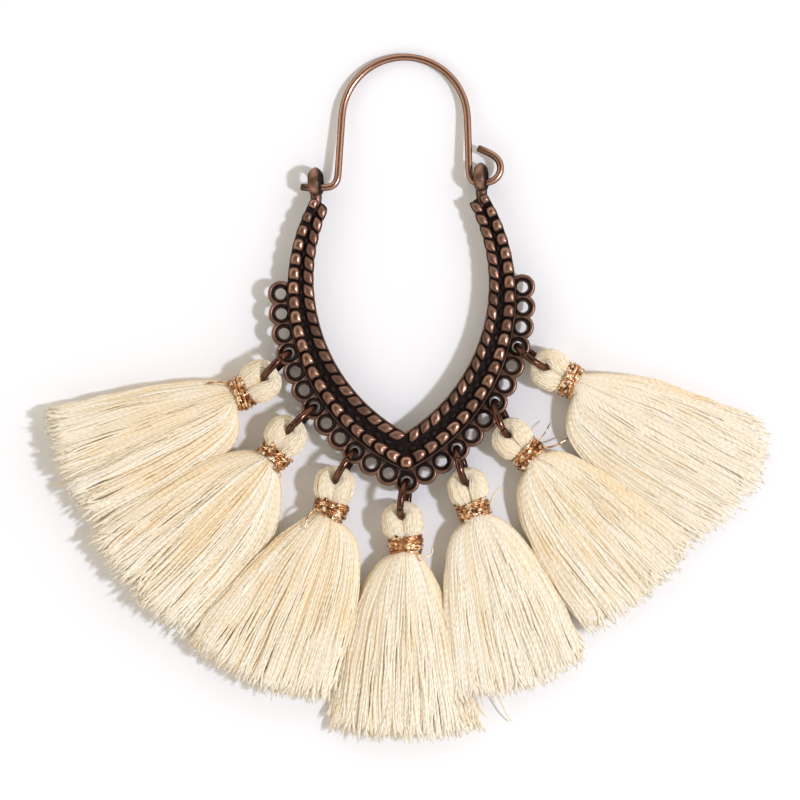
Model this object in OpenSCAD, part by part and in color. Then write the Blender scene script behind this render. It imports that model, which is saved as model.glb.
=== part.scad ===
// Fan earring with seven cotton tassels, laid flat on a table.
// X runs across the fan, Y from the tassels to the ear hook, Z up from the table.

/* [Frame] */
// Inside width of the teardrop opening
opening_w = 19.7; // [17:0.1:23]
// Depth of the opening, from the eye axis to its point
opening_h = 28.4; // [26:0.1:31]
// Distance from the eye axis down to where the opening is widest
widest_drop = 11.3; // [10:0.1:13]
// Distance from the eye axis down to the inner corners of the arms
arm_drop = 2.8; // [2.6:0.1:3.2]
// Slope of the cut ends of the arms
arm_end_angle = 28; // [20:1:34]
// Width of the band at the sides
band_w = 3; // [2.8:0.1:3.6]
// Width of the band at its point
point_w = 4.4; // [4:0.1:5.4]
// How much lower the outer edge is widest than the opening
outer_slip = 1.6; // [0.5:0.1:2]
// Thickness of the band without its relief
band_t = 1; // [0.8:0.05:1.4]

/* [Relief] */
// Width of the plain lip round the opening
lip_w = 0.3; // [0.2:0.05:0.4]
// Height of that lip over the band
lip_h = 0.35; // [0.2:0.05:0.6]
// Thickness of a slanted rope strand
rope_d = 0.8; // [0.6:0.05:0.9]
// Length of a slanted rope strand
rope_len = 0.75; // [0.6:0.05:0.9]
// Distance from one rope strand to the next
rope_pitch = 1.52; // [1.4:0.02:2]
// Slant of the rope strands against the row
rope_slant = 36; // [25:1:50]
// Diameter of a raised bead
bead_d = 1.44; // [1.2:0.02:1.5]
// Distance from one bead to the next
bead_pitch = 1.64; // [1.6:0.02:2.2]

/* [Scallops] */
// Outside diameter of one scallop ring
scallop_d = 2.9; // [2.7:0.05:3.1]
// Diameter of the hole in a scallop ring
scallop_hole_d = 1.4; // [1.35:0.05:1.5]
// Distance from one scallop ring to the next
scallop_pitch = 2.25; // [2.2:0.01:2.3]
// How far the scallop rings reach into the band
scallop_bite = 0.7; // [0.5:0.05:0.9]
// Thickness of a scallop ring at its hole
scallop_t = 0.75; // [0.6:0.05:0.8]
// Width of the raised rim of a scallop ring
scallop_rim_w = 0.4; // [0.3:0.05:0.5]
// Height of that rim over the scallop ring
scallop_rim_h = 0.25; // [0.15:0.05:0.3]
// Scallop rings on each side of the centre one
scallops = 12; // [10:1:12]

/* [Eyes] */
// Distance from the centre line to the middle of an eye
eye_x = 9.3; // [9.2:0.05:9.5]
// Outside diameter of an eye
eye_d = 3.4; // [3.2:0.05:3.6]
// Wall of an eye
eye_wall = 0.55; // [0.45:0.05:0.6]
// Width of an eye along the pin
eye_w = 1.5; // [1.3:0.05:1.6]

/* [Ear hook] */
// Diameter of the hook wire
wire_d = 0.8; // [0.7:0.05:0.9]
// Running clearance under the wire in the eyes
wire_gap = 0.12; // [0.05:0.01:0.2]
// Radius of the arch, to the middle of the wire
arch_r = 7.07; // [6.9:0.01:7.2]
// How far the arch sits to the right of the centre line
arch_shift = 0.9; // [0.6:0.05:0.95]
// Height of the arch over the pin, to the middle of the wire
hook_h = 14.6; // [13:0.1:17]
// Inside bends of the wire, to the middle of the wire
bend_r = 0.7; // [0.6:0.05:0.75]
// Where the left bend ends and the pin begins
left_pin_x = 7.55; // [7.5:0.01:7.65]
// Straight pin that stands out of the left eye
tail_len = 0.3; // [0.2:0.05:0.6]
// Upward bend of the tail
tail_bend = 14; // [8:1:25]
// Length of the tail past its bend
tail_tip = 0.5; // [0.3:0.05:1]
// Radius of the curl beside the right eye, to the middle of the wire
curl_r = 1.7; // [1.5:0.05:1.9]
// Turn of the curl past its outermost point
curl_turn = 65; // [45:1:75]
// Length of the curl's straight end
curl_tip = 1.8; // [1:0.1:2.2]

/* [Jump rings] */
// Outside diameter of a jump ring
ring_d = 5; // [4.8:0.05:5.3]
// Diameter of the jump ring wire
ring_wire_d = 0.8; // [0.7:0.05:0.85]
// A jump ring hangs in every scallop ring of this number
ring_every = 3; // [2:1:3]

/* [Tassels] */
// Distance from the jump ring's far side to the middle of the binding
head_len = 2.9; // [2.8:0.05:3.3]
// Width of a tassel's head
head_w = 4.6; // [4.2:0.1:5]
// Thickness of a tassel's head
head_t = 3.1; // [2.8:0.1:3.4]
// Clearance round the jump ring in a tassel's head
loop_gap = 0.18; // [0.15:0.01:0.25]
// Diameter of the bundled threads under the binding
neck_d = 3; // [2.6:0.1:3.2]
// Length of a tassel, from the middle of the binding to its tips
skirt_len = 22.2; // [19:0.1:24]
// Greatest thickness of the skirt
skirt_t = 3.3; // [3:0.1:4]
// Thickness of the skirt at its tips
tip_t = 1.7; // [1.4:0.1:2.2]
// Locks of thread round one tassel
locks = 24; // [20:2:26]
// Depth of the valleys between the locks, as a share of the thickness
lock_depth = 0.14; // [0.05:0.01:0.2]
// Difference between long and short locks
ragged = 0.8; // [0.4:0.1:1.2]

/* [Bindings] */
// Length of a binding
binding_len = 2; // [1.6:0.1:2.2]
// Diameter of the binding thread
thread_d = 0.4; // [0.3:0.05:0.45]
// Turns of the binding thread
binding_turns = 5; // [4:1:6]
// Clearance between a binding and the threads in it
binding_gap = 0.12; // [0.08:0.01:0.2]

/* [Hidden] */
$fn = 48;
copper = [0.55, 0.33, 0.24];
dark_copper = [0.33, 0.19, 0.13];
cotton = [0.96, 0.89, 0.76];
metallic = [0.76, 0.5, 0.28];

// How each tassel lies, from left to right: the way its jump ring, its head and its skirt
// point, how far the skirt spreads at its tips towards the tassel before and after it, and
// how far the jump ring leans from upright
TASSELS = [
  // ring, head, skirt, spread before, spread after, ring lean
  [-136, -150, -159, 7.2, 7, 6],
  [-138, -122, -136.5, 7.4, 7.8, 5],
  [-124, -101, -113.5, 7.5, 7.7, 7],
  [-99, -84, -92, 7.5, 6.4, 11],
  [-76, -77, -73.5, 7.1, 7.6, 8],
  [-68, -46, -49, 7.4, 6.9, 13],
  [-37, -31, -31, 6.9, 6.6, 9]
];
RING = 0;
HEAD = 1;
SKIRT = 2;
BEFORE = 3;
AFTER = 4;
RING_LEAN = 5;
middle = floor(len(TASSELS) / 2);

// Sections of a skirt from the binding to the tips, as shares of its length
SKIRT_STEPS = [0, 0.05, 0.11, 0.19, 0.3, 0.45, 0.65, 0.85, 1];
// Share of the spread that the shoulder under the binding makes
shoulder = 0.78;
// Drop of the corners of the fringe, as a share of the skirt's length
fringe_round = 0.05;

// How far the middle of a bead lies under the band's surface, as a share of its diameter
bead_sink = 0.1;

wire_r = wire_d / 2;
// How much thicker the hook wire is where a bend begins
swell = wire_r / 20;
ring_wire_r = ring_wire_d / 2;
ring_r = ring_d / 2 - ring_wire_r;
eye_r = eye_d / 2;
eye_hole_r = eye_r - eye_wall;
neck_r = neck_d / 2;
binding_r = neck_r + binding_gap + thread_d;

// The pin lies low in the eyes, and the arch reaches down to the table
pin_y = -eye_hole_r + wire_r + wire_gap;
pin_z = eye_r;
hook_slope = asin((pin_z - wire_r) / hook_h);

// Rows of the band. Row 0 is its inner edge and row 1 its outer edge. Each row is two arcs
// that meet in the point, and stands half_w wide at its widest and drop deep at its point.
function half_w(row) = opening_w / 2 + row * band_w;
function drop(row) = opening_h + row * point_w;
function row_y(row) = -widest_drop - row * outer_slip;
function depth(row) = drop(row) + row_y(row);
function arc_x(row) = (pow(depth(row), 2) - pow(half_w(row), 2)) / (2 * half_w(row));
function arc_r(row) = half_w(row) + arc_x(row);
// Angle on the arc at the point, and at the inner corner's height
function point_angle(row) = -acos(arc_x(row) / arc_r(row));
function top_angle(row) = asin((-arm_drop - row_y(row)) / arc_r(row));
function arc_len(row) = arc_r(row) * (top_angle(row) - point_angle(row)) * PI / 180;
function on_row(row, angle) =
  [arc_r(row) * cos(angle) - arc_x(row), row_y(row) + arc_r(row) * sin(angle)];

rope_row = (lip_w + rope_d / 2) / band_w;
bead_row = 1 - bead_d / 2 / band_w;
scallop_row = 1 + (scallop_d / 2 - scallop_bite) / band_w;
scallop_step = scallop_pitch / arc_r(scallop_row) * 180 / PI;

// Place of scallop ring number i, counted from the centre to the right
function scallop_at(i) =
  let (p = on_row(scallop_row, point_angle(scallop_row) + abs(i) * scallop_step))
  [sign(i) * p.x, p.y];

// The frame leans on its eyes and on the jump rings that stand on the table
lean = asin((ring_d / 2 - eye_r) / drop(scallop_row));
function frame_point(p) = [p.x, p.y * cos(lean), eye_r - p.y * sin(lean)];

// Hole, far side and direction of jump ring number i, from left to right
function turn(angle) = [cos(angle), sin(angle), 0];
function hole(i) = frame_point(scallop_at((i - middle) * ring_every));
function ring_z(i) = ring_r * cos(TASSELS[i][RING_LEAN]) + ring_wire_r;
function ring_reach(i) = sqrt(pow(ring_r, 2) - pow(hole(i).z - ring_z(i), 2));
function flat(p) = [p.x, p.y, 0];
function ring_centre(i) = flat(hole(i)) + ring_reach(i) * turn(TASSELS[i][RING]);
function loop_point(i) = ring_centre(i) + ring_r * turn(TASSELS[i][RING]);
function binding_centre(i) = loop_point(i) + head_len * turn(TASSELS[i][HEAD]);

// Skirt of a tassel, measured from the middle of its binding
neck_end = binding_len / 2 + thread_d / 2;
fan_len = skirt_len - neck_end;
points_round = 2 * locks;
function fan(u) = shoulder * (1 - pow(1 - u, 4)) + (1 - shoulder) * u;
function spread(i, side, u) =
  let (tip = side < 0 ? TASSELS[i][BEFORE] : TASSELS[i][AFTER])
  neck_r + (tip - neck_r) * fan(u);
function half_t(u) =
  let (top = skirt_t / 2, rise = 1 - pow(1 - u, 8))
  neck_r + (top - neck_r) * rise + (tip_t / 2 - top) * pow(u, 1.5);
function mid_z(u) = half_t(u) + (binding_r - neck_r) * pow(1 - u, 6);
// Peaks and valleys round the skirt, the valleys growing towards the tips
function ridge(j, u) = j % 2 == 0 ? 1 : 1 - lock_depth * min(1, 0.3 + 3 * u);
function uneven(i, j) = sin(97 * i + 151 * j) * cos(61 * j);
function lock_len(i, j, u) =
  u * (fan_len + ragged * (uneven(i, j) + (j % 2 == 0 ? 0 : -1)) * pow(u, 6));
function skirt_point(i, j, u) =
  let (angle = 360 * (j + 0.5) / points_round, c = cos(angle) * ridge(j, u))
  [
    neck_end + lock_len(i, j, u) - fringe_round * skirt_len * pow(c, 2) * u,
    spread(i, c, u) * c,
    mid_z(u) + half_t(u) * sin(angle) * ridge(j, u)
  ];
// The threads under the binding make one round bundle
function neck_point(j, x) =
  let (angle = 360 * (j + 0.5) / points_round)
  [x, neck_r * cos(angle) * ridge(j, 0), binding_r + neck_r * sin(angle) * ridge(j, 0)];
function skirt_points(i) = concat(
  [for (j = [0:points_round - 1]) neck_point(j, -neck_end)],
  [for (u = SKIRT_STEPS, j = [0:points_round - 1]) skirt_point(i, j, u)]
);
rows_along = len(SKIRT_STEPS) + 1;
function at(row, j) = row * points_round + j % points_round;
skirt_faces = concat(
  [[for (j = [0:points_round - 1]) at(0, j)]],
  [for (row = [0:rows_along - 2], j = [0:points_round - 1])
    [at(row, j), at(row + 1, j), at(row + 1, j + 1)]],
  [for (row = [0:rows_along - 2], j = [0:points_round - 1])
    [at(row, j), at(row + 1, j + 1), at(row, j + 1)]],
  [for (j = [0:points_round / 2 - 2])
    [at(rows_along - 1, j), at(rows_along - 1, points_round - 1 - j), at(rows_along - 1, j + 1)]],
  [for (j = [0:points_round / 2 - 2])
    [at(rows_along - 1, j + 1), at(rows_along - 1, points_round - 1 - j),
      at(rows_along - 1, points_round - 2 - j)]]
);

// The fringe and the arch set the middle of the whole earring
function on_table(i, p) =
  let (a = TASSELS[i][SKIRT], b = binding_centre(i))
  [b.x + p.x * cos(a) - p.y * sin(a), b.y + p.x * sin(a) + p.y * cos(a)];
fringe = [for (i = [0:len(TASSELS) - 1], j = [0:points_round - 1])
  on_table(i, skirt_point(i, j, 1))];
fringe_x = [for (p = fringe) p.x];
fringe_y = [for (p = fringe) p.y];
arch_top = pin_y + hook_h * cos(hook_slope) + wire_r;
middle_x = (min(fringe_x) + max(fringe_x)) / 2;
middle_y = (min(fringe_y) + arch_top) / 2;

module centred() {
  translate([-middle_x, -middle_y, 0]) children();
}

// Puts a shape of the frame's own plane where the frame leans
module leaning() {
  centred() translate([0, 0, eye_r]) rotate([-lean, 0, 0]) children();
}

module both_sides() {
  children();
  mirror([1, 0, 0]) children();
}

// Teardrop outline of a row
module teardrop(row) {
  intersection() {
    translate([-arc_x(row), row_y(row)]) circle(r = arc_r(row), $fn = 180);
    translate([arc_x(row), row_y(row)]) circle(r = arc_r(row), $fn = 180);
  }
}

// Everything above the cut ends of the arms
module above_arms() {
  corner = on_row(0, top_angle(0)).x;
  side = corner + opening_w;
  slope = opening_w * tan(arm_end_angle);
  both_sides()
    translate([0, 0, -opening_w / 2])
      linear_extrude(opening_w)
        polygon([
          [-1, -arm_drop],
          [corner, -arm_drop],
          [side, slope - arm_drop],
          [side, 2 * opening_w],
          [-1, 2 * opening_w]
        ]);
}

module band_ring(outer_row, inner_row, low, high) {
  difference() {
    translate([0, 0, low]) linear_extrude(high - low) teardrop(outer_row);
    translate([0, 0, low - 1]) linear_extrude(high - low + 2) teardrop(inner_row);
    above_arms();
  }
}

module band() {
  band_ring(1, 0, -band_t / 2, band_t / 2);
  band_ring(lip_w / band_w, 0, -band_t / 2, band_t / 2 + lip_h);
}

// Strands that lie slanted across their row, half sunk in the band. They turn the same way
// all along the rope, so the two arms don't mirror each other.
module rope() {
  count = floor(arc_len(rope_row) / rope_pitch - 0.5);
  step = rope_pitch / arc_r(rope_row) * 180 / PI;
  for (side = [-1, 1], i = [0:count - 1]) {
    angle = point_angle(rope_row) + (i + 0.75) * step;
    p = on_row(rope_row, angle);
    translate([side * p.x, p.y, band_t / 2])
      rotate([0, 0, side * (angle + 90) + rope_slant])
        rotate([0, 90, 0])
          cylinder(d = rope_d, h = rope_len, center = true);
  }
}

module beads() {
  count = floor(arc_len(bead_row) / bead_pitch);
  step = bead_pitch / arc_r(bead_row) * 180 / PI;
  for (i = [-count:count]) {
    p = on_row(bead_row, point_angle(bead_row) + abs(i) * step);
    translate([i < 0 ? -p.x : p.x, p.y, band_t / 2 - bead_sink * bead_d]) sphere(d = bead_d);
  }
}

module scallop_discs(d, low, high) {
  for (i = [-scallops:scallops])
    translate([scallop_at(i).x, scallop_at(i).y, low])
      cylinder(d = d, h = high - low);
}

module scallop_row() {
  low = -scallop_t / 2;
  high = scallop_t / 2;
  difference() {
    union() {
      scallop_discs(scallop_d, low, high + scallop_rim_h);
      band_ring(1, 0.5, -band_t / 2, band_t / 2);
    }
    scallop_discs(scallop_d - 2 * scallop_rim_w, high, band_t);
    scallop_discs(scallop_hole_d, -band_t, band_t);
  }
}

// Eye whose hole runs along X, with a short neck down to the arm
module eye() {
  side = (eye_w - eye_wall) / 2;
  translate([eye_x, 0, 0])
    rotate([0, 90, 0])
      rotate_extrude() {
        translate([eye_hole_r + eye_wall / 2, 0]) square([eye_wall, 2 * side], center = true);
        translate([eye_hole_r + eye_wall / 2, side]) circle(d = eye_wall);
        translate([eye_hole_r + eye_wall / 2, -side]) circle(d = eye_wall);
      }
  translate([eye_x, -eye_r + eye_wall / 2, 0])
    rotate([90, 0, 0])
      cylinder(d = band_t, h = arm_drop + eye_wall / 2 - eye_r + eye_w / 2);
}

module frame() {
  color(copper) leaning() {
    band();
    rope();
    beads();
    scallop_row();
    both_sides() eye();
  }
}

// Straight wire from one point of the plan to another
module rod(from, to) {
  along = to - from;
  translate([from.x, from.y, 0])
    rotate([0, 0, atan2(along.y, along.x)])
      rotate([0, 90, 0])
        cylinder(r = wire_r, h = norm(along));
}

// Bent wire on an arc of the plan, with a slight swell at each end that blends it in
module bend(centre, r, from, angle) {
  translate([centre.x, centre.y, 0])
    rotate([0, 0, from]) {
      rotate_extrude(angle = angle)
        translate([r, 0]) circle(r = wire_r);
      for (a = [0, angle])
        translate([r * cos(a), r * sin(a), 0]) sphere(r = wire_r + swell);
    }
}

module ear_hook() {
  arch = [arch_shift, hook_h - arch_r];
  left_bend = [-left_pin_x, bend_r];
  right_bend = [arch.x + arch_r + bend_r, bend_r];
  // The left leg leans so that it runs smoothly from the arch into its bend
  to_arch = arch - left_bend;
  leg_lean = acos((arch_r + bend_r) / norm(to_arch)) - atan2(to_arch.y, to_arch.x);
  left_way = [cos(leg_lean), -sin(leg_lean)];
  tail_x = -(eye_x + eye_w / 2 + tail_len);
  tail_from = [tail_x, 0] + bend_r * [-sin(tail_bend), 1 - cos(tail_bend)];
  curl = [eye_x + eye_w / 2 - wire_gap, curl_r];
  curl_end = curl + curl_r * [cos(curl_turn), sin(curl_turn)];
  color(copper) centred()
    translate([0, pin_y, pin_z])
      rotate([-hook_slope, 0, 0]) {
        bend(arch, arch_r, 0, 180 - leg_lean);
        rod(arch - arch_r * left_way, left_bend + bend_r * left_way);
        bend(left_bend, bend_r, -90, 90 - leg_lean);
        rod([-left_pin_x, 0], [tail_x, 0]);
        bend([tail_x, bend_r], bend_r, -90 - tail_bend, tail_bend);
        rod(tail_from, tail_from + tail_tip * [-cos(tail_bend), sin(tail_bend)]);
        rod(arch + [arch_r, 0], right_bend - [bend_r, 0]);
        bend(right_bend, bend_r, 180, 90);
        rod([right_bend.x, 0], [curl.x, 0]);
        bend(curl, curl_r, -90, 90 + curl_turn);
        rod(curl_end, curl_end + curl_tip * [-sin(curl_turn), cos(curl_turn)]);
      }
}

// Jump ring that stands on edge, a little to one side, thicker by grow all round
module ring(i, grow) {
  c = ring_centre(i);
  translate([c.x, c.y, ring_z(i)])
    rotate([0, 0, TASSELS[i][RING]])
      rotate([90 + TASSELS[i][RING_LEAN], 0, 0])
        rotate_extrude($fn = grow > 0 ? 20 : 48)
          translate([ring_r, 0])
            circle(r = ring_wire_r + grow, $fn = grow > 0 ? 8 : 24);
}

module jump_ring(i) {
  color(dark_copper) centred() ring(i, 0);
}

module thread_ball(p, r, side, up) {
  translate([p.x, side * p.y, up * p.z]) sphere(r = r, $fn = 8);
}

// Threads folded over the jump ring: two lobes beside it, joined on its inside
module head(i) {
  lobe_r = head_w / 4 - loop_gap;
  layer = head_t / 2 - lobe_r;
  fold_r = 0.85 * lobe_r;
  end_r = 0.8 * lobe_r;
  lobe = [0.3 * lobe_r, head_w / 2 - lobe_r, layer];
  fold = [-ring_wire_r - loop_gap - 0.65 * fold_r, 0.45 * lobe.y, layer];
  end = [head_len - neck_end - end_r, 0.5 * lobe.y, 0.5 * layer];
  translate([loop_point(i).x, loop_point(i).y, binding_r + layer / 2])
    rotate([0, 0, TASSELS[i][HEAD]]) {
      for (side = [-1, 1], up = [-1, 1]) {
        hull() {
          thread_ball(fold, fold_r, side, up);
          thread_ball(lobe, lobe_r, side, up);
        }
        hull() {
          thread_ball(lobe, lobe_r, side, up);
          thread_ball(end, end_r, side, up);
        }
      }
      hull()
        for (side = [-1, 1], up = [-1, 1])
          thread_ball(fold, fold_r, side, up);
    }
}

// One thread bundle that bends from the head into the binding
module neck_join(i) {
  b = binding_centre(i);
  l = loop_point(i);
  start = head_len - neck_end - 0.5 * neck_r;
  hull() {
    translate([l.x, l.y, binding_r])
      rotate([0, 0, TASSELS[i][HEAD]])
        translate([start, 0, 0]) sphere(r = 0.75 * neck_r, $fn = 8);
    translate([b.x, b.y, binding_r])
      rotate([0, 0, TASSELS[i][SKIRT]])
        translate([-neck_end + 0.1 * neck_r, 0, 0])
          rotate([0, 90, 0]) cylinder(r = 0.9 * neck_r, h = 0.1 * neck_r, $fn = 12);
  }
}

module tassel(i) {
  b = binding_centre(i);
  color(cotton) centred() {
    difference() {
      union() {
        head(i);
        neck_join(i);
        translate([b.x, b.y, 0])
          rotate([0, 0, TASSELS[i][SKIRT]])
            polyhedron(points = skirt_points(i), faces = skirt_faces);
      }
      ring(i, loop_gap);
    }
  }
}

// Wound thread: a thin sleeve with a rib for each turn
module binding(i) {
  b = binding_centre(i);
  inner = neck_r + binding_gap;
  turn_step = (binding_len - thread_d) / (binding_turns - 1);
  color(metallic) centred()
    translate([b.x, b.y, binding_r])
      rotate([0, 0, TASSELS[i][SKIRT]])
        rotate([0, 90, 0])
          rotate_extrude() {
            translate([inner, -binding_len / 2 + thread_d / 4])
              square([thread_d / 2, binding_len - thread_d / 2]);
            for (k = [0:binding_turns - 1])
              translate([inner + thread_d / 2, (k - (binding_turns - 1) / 2) * turn_step])
                circle(d = thread_d, $fn = 24);
          }
}

frame();
ear_hook();
for (i = [0:len(TASSELS) - 1]) {
  jump_ring(i);
  tassel(i);
  binding(i);
}
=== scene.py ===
"""Looks of a fan earring: an antique copper casting with cotton tassels, lying on a pale table."""
import math

import bpy
import numpy as np
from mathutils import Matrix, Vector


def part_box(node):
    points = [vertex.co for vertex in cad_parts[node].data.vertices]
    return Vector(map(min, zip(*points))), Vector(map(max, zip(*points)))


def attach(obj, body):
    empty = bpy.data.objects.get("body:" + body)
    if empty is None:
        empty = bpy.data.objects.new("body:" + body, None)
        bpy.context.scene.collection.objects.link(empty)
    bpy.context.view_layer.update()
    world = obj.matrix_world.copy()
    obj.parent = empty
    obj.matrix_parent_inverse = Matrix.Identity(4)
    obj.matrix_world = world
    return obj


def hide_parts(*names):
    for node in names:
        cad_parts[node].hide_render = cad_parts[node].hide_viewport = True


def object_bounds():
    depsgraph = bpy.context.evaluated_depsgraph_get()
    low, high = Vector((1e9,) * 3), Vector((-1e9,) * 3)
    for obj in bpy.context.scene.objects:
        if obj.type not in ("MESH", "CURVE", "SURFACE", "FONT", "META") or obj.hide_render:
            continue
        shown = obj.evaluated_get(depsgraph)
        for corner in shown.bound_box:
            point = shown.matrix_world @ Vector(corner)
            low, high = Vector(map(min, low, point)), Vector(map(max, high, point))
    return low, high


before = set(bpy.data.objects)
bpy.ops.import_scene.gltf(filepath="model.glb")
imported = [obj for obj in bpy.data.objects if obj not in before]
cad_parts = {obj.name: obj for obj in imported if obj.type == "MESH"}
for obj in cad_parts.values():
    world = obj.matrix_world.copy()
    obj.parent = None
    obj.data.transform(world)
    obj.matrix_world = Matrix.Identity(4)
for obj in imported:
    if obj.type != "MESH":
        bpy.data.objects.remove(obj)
cad_low, cad_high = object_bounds()

# Lengths are in millimetres here, as in the part's source, and become metres in make_piece
MM = 0.001
rng = np.random.default_rng(7)

# Band of the frame: rows run from 0 at its inner edge to 1 at its outer edge
OPENING_W = 19.7
OPENING_H = 28.4
WIDEST_DROP = 11.3
ARM_DROP = 2.8
ARM_END_SLOPE = math.tan(math.radians(28))
BAND_W = 3.0
POINT_W = 4.4
OUTER_SLIP = 1.6
BAND_T = 1.0
ARM_ROUND = 0.35
ROPE_ROW = 0.2
CHANNEL_ROW = 0.5
BEAD_ROW = 0.76
ROPE_PITCH = 1.52
BEAD_PITCH = 1.64
CHANNEL_PITCH = 1.45

# Scallop rings outside the band, with as many on each arm as SCALLOPS and one at the point
SCALLOP_D = 2.9
SCALLOP_PITCH = 2.25
SCALLOP_BITE = 0.7
SCALLOPS = 12

# Upright eyes on the ends of the arms
EYE_X = 9.3
EYE_D = 3.4
EYE_WALL = 0.55
EYE_W = 1.5
EYE_LEAN = math.tan(math.radians(6))

# Bent wire of the ear hook
WIRE_D = 0.8
WIRE_GAP = 0.12
ARCH_R = 7.07
ARCH_SHIFT = 0.9
HOOK_H = 14.6
BEND_R = 0.7
LEFT_PIN_X = 7.55
TAIL_LEN = 0.3
TAIL_BEND = math.radians(14)
TAIL_TIP = 0.5
CURL_R = 1.7
CURL_TURN = math.radians(65)
CURL_TIP = 1.8

# Jump rings, and the heads, necks, skirts and bindings of the tassels
RING_D = 5.0
RING_WIRE_D = 0.8
HEAD_LEN = 2.9
NECK_R = 1.5
SKIRT_T = 3.3
BINDING_LEN = 2.0
BINDING_GAP = 0.12
BINDING_THREAD_D = 0.4
BINDING_R = NECK_R + BINDING_GAP + BINDING_THREAD_D
NECK_END = BINDING_LEN / 2 + BINDING_THREAD_D / 2

# Which way each tassel's jump ring and skirt point, how far the ring leans from upright, how
# far the skirt reaches from the middle of its binding, and how far its tips bulge
TASSELS = [
    # ring, skirt, ring lean, reach, bulge
    (-136, -159, 6, 21.9, 0.6),
    (-138, -136.5, 5, 22.4, 1.1),
    (-124, -113.5, 7, 21.7, 1.5),
    (-99, -92, 11, 22.1, 1.4),
    (-76, -73.5, 8, 20.9, 1.1),
    (-68, -49, 13, 20.9, 1.5),
    (-37, -31, 9, 24.0, 2.6),
]

# How far each side of a skirt spreads, how much of that it puffs out right at the binding, and
# how round its shoulder is
SIDES = [
    # before: spread, puff, shoulder, after: spread, puff, shoulder
    (6.6, 0.1, 0.3, 7.7, 0.4, 0.8),
    (8.4, 0.1, 0.4, 8.2, 0.1, 0.9),
    (9.4, 0.0, 0.3, 7.8, 0.3, 0.6),
    (8.4, 0.1, 0.5, 8.6, 0.0, 0.3),
    (8.6, 0.2, 0.3, 6.8, 0.1, 0.6),
    (8.6, 0.2, 0.6, 7.2, 0.15, 0.4),
    (8.6, 0.45, 0.9, 6.6, 0.0, 0.5),
]
PUFF_REACH = 0.03

# How far the side of each skirt lies over the one before it, or under it where negative
OVERLAPS = [1, 1, -0.8, 0.8, 0.2, -0.4]

# How much the threads of each skirt part into locks, how thick it is at its tips, and how
# thick and how pale its threads are beside what SHEETS says
PARTING = [0.85, 0.8, 0.75, 0.7, 0.3, 0.35, 0.2]
TIP_T = [3.3, 3.2, 2.8, 2.3, 2.1, 2.0, 1.9]
COARSENESS = [1.3, 1.28, 1.22, 1.2, 1.08, 1.05, 0.98]
# The paleness is painted light: it makes some skirts paler than the others.
PALENESS = [0.0, 0.02, 0.03, 0.01, 0.15, -0.01, 0.12]

# The frame's own plane: its origin lies between the eyes, and it leans on the jump rings
frame_low, frame_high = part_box("frame")
EYE_R = EYE_D / 2
ORIGIN = np.array([
    (frame_low.x + frame_high.x) / 2 / MM,
    frame_high.y / MM - EYE_R,
    EYE_R,
])


# Materials

# About how many features a metre holds
PATINA_CLOUDS = 900
PATINA_GRAIN = 5200
COTTON_CLOUDS = 320
COTTON_FUZZ = 9000
FOIL_FACETS = 2900

# How deep the bumps are, in metres
PATINA_DEPTH = 0.06 * MM
COTTON_DEPTH = 0.04 * MM
FOIL_DEPTH = 0.12 * MM

# Turns of a cotton thread's twist, in radians a millimetre, and how many ridges it has
TWIST_RATE = 8.0
TWIST_RIDGES = 2.0


class Graph:
    """The nodes of a material or of the world."""

    def __init__(self, owner):
        owner.use_nodes = True
        self.nodes = owner.node_tree.nodes
        self.link = owner.node_tree.links.new

    def add(self, kind, **values):
        """A node whose named sockets or properties are set."""
        node = self.nodes.new(kind)
        for key, value in values.items():
            if key in node.inputs:
                node.inputs[key].default_value = value
            else:
                setattr(node, key, value)
        return node

    def attribute(self, name):
        return self.add("ShaderNodeAttribute", attribute_name=name).outputs

    def coordinates(self, kind):
        return self.add("ShaderNodeTexCoord").outputs[kind]

    def split(self, vector):
        """The X, Y and Z of a vector."""
        node = self.add("ShaderNodeSeparateXYZ")
        self.link(vector, node.inputs["Vector"])
        return node.outputs

    def noise(self, scale, detail=3.0):
        texture = self.add("ShaderNodeTexNoise", Scale=scale, Detail=detail)
        self.link(self.coordinates("Object"), texture.inputs["Vector"])
        return texture.outputs["Fac"]

    def ramp(self, value, stops):
        """Colours along a value: stops holds (place, red, green, blue)."""
        node = self.add("ShaderNodeValToRGB")
        elements = node.color_ramp.elements
        while len(elements) < len(stops):
            elements.new(0.5)
        for element, (place, *colour) in zip(elements, stops):
            element.position = place
            element.color = (*colour, 1)
        self.link(value, node.inputs["Fac"])
        return node.outputs["Color"]

    def maths(self, operation, *inputs, clamp=False):
        node = self.add("ShaderNodeMath", operation=operation, use_clamp=clamp)
        for socket, value in zip(node.inputs, inputs):
            if isinstance(value, (int, float)):
                socket.default_value = value
            else:
                self.link(value, socket)
        return node.outputs["Value"]

    def gap(self, value, less, scale):
        """The difference of two values, times scale."""
        return self.maths("MULTIPLY", self.maths("SUBTRACT", value, less), scale)

    def bump(self, shader, height, strength, distance):
        node = self.add("ShaderNodeBump", Strength=strength, Distance=distance)
        self.link(height, node.inputs["Height"])
        self.link(node.outputs["Normal"], shader.inputs["Normal"])


def new_material(name, constants):
    """A material, its nodes and its shader, with constants set on the shader's own sockets."""
    material = bpy.data.materials.new(name)
    graph = Graph(material)
    shader = graph.nodes["Principled BSDF"]
    for key, value in constants.items():
        shader.inputs[key].default_value = value
    return material, graph, shader


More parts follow.
